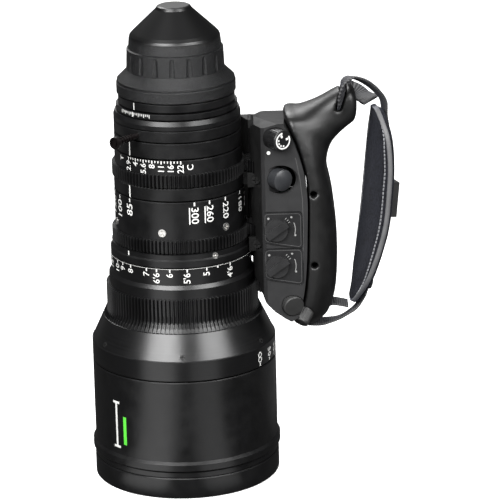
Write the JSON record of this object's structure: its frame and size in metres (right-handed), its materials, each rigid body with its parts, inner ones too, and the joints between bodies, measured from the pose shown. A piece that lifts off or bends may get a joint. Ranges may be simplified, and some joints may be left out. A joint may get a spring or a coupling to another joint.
{
  "type": "cinema zoom lens",
  "caption": "Tapered telephoto zoom lens with geared focus, zoom and iris rings, rear cap, and a side-mounted servo drive unit with hand grip and padded hand strap.",
  "frame": {"origin": "centre of the front rim's end face, on the optical axis", "axes": "+Z along the optical axis from the front rim to the camera mount; +X from the axis to the drive unit and its grip; -Y is the side with the drive's dials, which faces down in use"},
  "size_m": [0.1916, 0.116, 0.294],
  "materials": {
    "black_metal": "black anodised",
    "inner_metal": "matt black anodised",
    "brass": "machined",
    "steel": "satin",
    "lens_glass": "coated",
    "cap_plastic": "fine speckle",
    "housing_plastic": "fine grain",
    "control_plastic": "satin",
    "red_plastic": "satin",
    "grip_rubber": "soft-touch",
    "board": "lacquered",
    "pad_cloth": "brushed fleece",
    "webbing": "ribbed weave"
  },
  "bodies": {
    "barrel": {"front_rim": "black_metal", "front_tube": "black_metal", "front_lens_cell": "inner_metal", "front_retainer": "inner_metal", "front_element": "lens_glass", "second_element": "lens_glass", "main_barrel": "inner_metal", "focus_index_ring": "black_metal", "focus_index_screws": "steel", "zoom_index_ring": "black_metal", "iris_index_ring": "black_metal", "rear_collar": "black_metal", "mount_base_ring": "black_metal", "lens_mount": "steel", "mount_screws": "steel", "rear_element": "lens_glass", "rear_element_retainer": "inner_metal", "iris_unit": "inner_metal", "iris_blades": "steel", "relay_cell": "inner_metal", "relay_glass": "lens_glass", "drive_housing": "housing_plastic", "drive_cover": "housing_plastic", "drive_cover_screws": "steel", "drive_mount_screws": "steel", "drive_motors": "steel", "circuit_board": "board", "selector_plates": "housing_plastic", "grip_shell": "grip_rubber", "strap_pad": "pad_cloth", "strap_webbing": "webbing", "strap_buckle": "control_plastic"},
    "focus": {"focus_ring": "black_metal", "focus_ring_screws": "steel"},
    "zoom": {"zoom_ring": "black_metal", "zoom_ring_screws": "steel", "zoom_cam_sleeve": "brass"},
    "iris": {"iris_ring": "black_metal"},
    "macro": {"macro_ring": "black_metal"},
    "macro_pull": {"macro_knob": "steel"},
    "flange_focus": {"flange_focus_ring": "black_metal"},
    "cap": {"rear_cap": "cap_plastic"},
    "focus_group": {"focus_cell": "inner_metal", "focus_glass": "lens_glass"},
    "variator_group": {"variator_cell": "inner_metal", "variator_glass": "lens_glass"},
    "compensator_group": {"compensator_cell": "inner_metal", "compensator_glass": "lens_glass"},
    "iris_drive": {"iris_pinion": "brass"},
    "zoom_drive": {"zoom_pinion": "brass"},
    "focus_drive": {"focus_pinion": "brass"},
    "mode_switch": {"mode_dial": "control_plastic"},
    "quick_switch": {"quick_button": "control_plastic"},
    "zoom_switch": {"zoom_selector": "control_plastic"},
    "focus_switch": {"focus_selector": "control_plastic"},
    "large_cap": {"connector_cap_large": "control_plastic"},
    "small_cap": {"connector_cap_small": "control_plastic"},
    "rocker": {"zoom_rocker": "control_plastic"},
    "record_switch": {"record_button": "red_plastic"},
    "return_switch": {"return_button": "control_plastic"}
  },
  "joints": [
    {"name": "focus_turn", "type": "hinge", "parent": "barrel", "child": "focus", "pos_m": [0, 0, 0.105], "axis": [0, 0, 1], "range_deg": [-128, 76]},
    {"name": "zoom_turn", "type": "hinge", "parent": "barrel", "child": "zoom", "pos_m": [0, 0, 0.165], "axis": [0, 0, 1], "range_deg": [0, 120]},
    {"name": "iris_turn", "type": "hinge", "parent": "barrel", "child": "iris", "pos_m": [0, 0, 0.2], "axis": [0, 0, 1], "range_deg": [-58, 0]},
    {"name": "macro_turn", "type": "hinge", "parent": "barrel", "child": "macro", "pos_m": [0, 0, 0.222], "axis": [0, 0, 1], "range_deg": [-40, 0]},
    {"name": "macro_knob_pull", "type": "slide", "parent": "macro", "child": "macro_pull", "axis": [-0.6157, -0.788, 0], "range_m": [0, 0.0015], "stiffness_N_per_m": 300, "springref_m": -0.001},
    {"name": "flange_focus_turn", "type": "hinge", "parent": "barrel", "child": "flange_focus", "pos_m": [0, 0, 0.2337], "axis": [0, 0, 1], "range_deg": [-15, 15]},
    {"name": "cap_lift", "type": "slide", "parent": "barrel", "child": "cap", "axis": [0, 0, 1], "range_m": [0, 0.12]},
    {"name": "focus_group_slide", "type": "slide", "parent": "barrel", "child": "focus_group", "axis": [0, 0, 1], "range_m": [-0.00566, 0.00336]},
    {"name": "variator_slide", "type": "slide", "parent": "barrel", "child": "variator_group", "axis": [0, 0, 1], "range_m": [0, 0.02801]},
    {"name": "compensator_slide", "type": "slide", "parent": "barrel", "child": "compensator_group", "axis": [0, 0, 1], "range_m": [-0.00901, 0]},
    {"name": "iris_pinion_turn", "type": "hinge", "parent": "barrel", "child": "iris_drive", "pos_m": [0.0524, 0, 0.195], "axis": [0, 0, 1], "range_deg": [-1, 180]},
    {"name": "zoom_pinion_turn", "type": "hinge", "parent": "barrel", "child": "zoom_drive", "pos_m": [0.0536, 0, 0.1546], "axis": [0, 0, 1], "range_deg": [-384, 1]},
    {"name": "focus_pinion_turn", "type": "hinge", "parent": "barrel", "child": "focus_drive", "pos_m": [0.0584, 0, 0.118], "axis": [0, 0, 1], "range_deg": [-272, 457]},
    {"name": "mode_dial_turn", "type": "hinge", "parent": "barrel", "child": "mode_switch", "pos_m": [0.05874, -0.028, 0.21753], "axis": [0.5592, -0.829, 0], "range_deg": [-150, 150]},
    {"name": "quick_button_press", "type": "slide", "parent": "barrel", "child": "quick_switch", "axis": [-0.5592, 0.829, 0], "range_m": [0, 0.0012], "stiffness_N_per_m": 400, "springref_m": -0.001},
    {"name": "zoom_selector_turn", "type": "hinge", "parent": "barrel", "child": "zoom_switch", "pos_m": [0.05818, -0.028, 0.1607], "axis": [0, -1, 0], "range_deg": [-75, 0]},
    {"name": "focus_selector_turn", "type": "hinge", "parent": "barrel", "child": "focus_switch", "pos_m": [0.05818, -0.028, 0.13776], "axis": [0, -1, 0], "range_deg": [-75, 0]},
    {"name": "large_cap_pull", "type": "slide", "parent": "barrel", "child": "large_cap", "axis": [0.3426, -0.9162, -0.2079], "range_m": [0, 0.02]},
    {"name": "small_cap_pull", "type": "slide", "parent": "barrel", "child": "small_cap", "axis": [-0.4624, -0.551, -0.6947], "range_m": [0, 0.02]},
    {"name": "rocker_tilt", "type": "hinge", "parent": "barrel", "child": "rocker", "pos_m": [0.0631, 0.0246, 0.153], "axis": [1, 0, 0], "range_deg": [-9, 9], "stiffness_Nm_per_rad": 0.1},
    {"name": "record_press", "type": "slide", "parent": "barrel", "child": "record_switch", "axis": [0, -1, 0], "range_m": [0, 0.0012], "stiffness_N_per_m": 400, "springref_m": -0.001},
    {"name": "return_press", "type": "slide", "parent": "barrel", "child": "return_switch", "axis": [0, -1, 0], "range_m": [0, 0.0012], "stiffness_N_per_m": 400, "springref_m": -0.001}
  ],
  "couplings": [
    {"joint": "focus_group_slide", "follows": "focus_turn", "m_per_rad": 0.0025278},
    {"joint": "variator_slide", "follows": "zoom_turn", "m_per_rad": 0.013369},
    {"joint": "compensator_slide", "follows": "zoom_turn", "m_per_rad": -0.0042972},
    {"joint": "iris_pinion_turn", "follows": "iris_turn", "ratio": -3.0938},
    {"joint": "zoom_pinion_turn", "follows": "zoom_turn", "ratio": -3.1875},
    {"joint": "focus_pinion_turn", "follows": "focus_turn", "ratio": -3.5625}
  ]
}
